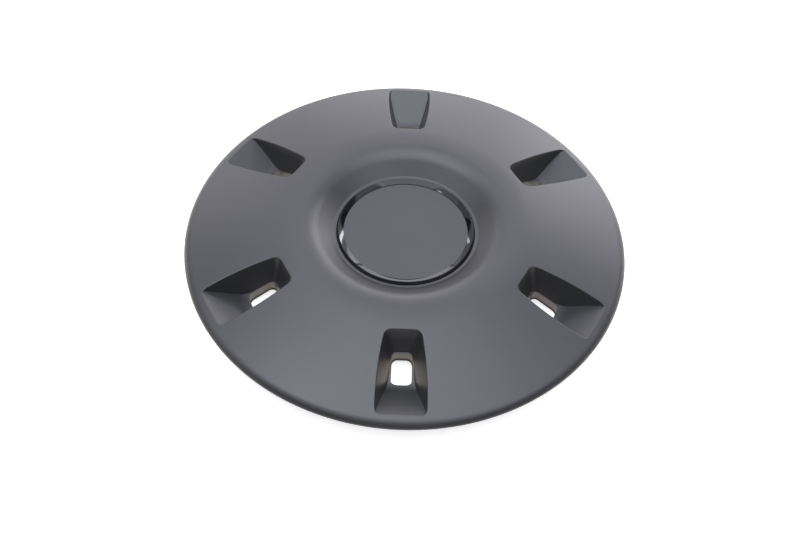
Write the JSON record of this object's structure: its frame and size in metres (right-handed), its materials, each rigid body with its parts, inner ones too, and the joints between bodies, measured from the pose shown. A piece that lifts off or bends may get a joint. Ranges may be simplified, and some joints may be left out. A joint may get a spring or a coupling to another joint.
{
  "type": "hubcap",
  "caption": "Round moulded hubcap with a dished centre, a gloss trim ring and tapered pockets that are slotted for the wheel's fixings.",
  "frame": {"origin": "on the cover's axis, in the plane of the six feet under the slots, on which it rests", "axes": "+Z along the axis out of the front face, -Y towards one pocket (the nearest one in the picture), +X to that view's right"},
  "size_m": [0.24, 0.24, 0.0259],
  "materials": {
    "cover": "fine matte grain, charcoal grey",
    "badge_ring": "high gloss, black"
  },
  "bodies": {
    "root": {"cover": "cover", "badge_ring": "badge_ring"}
  },
  "joints": []
}
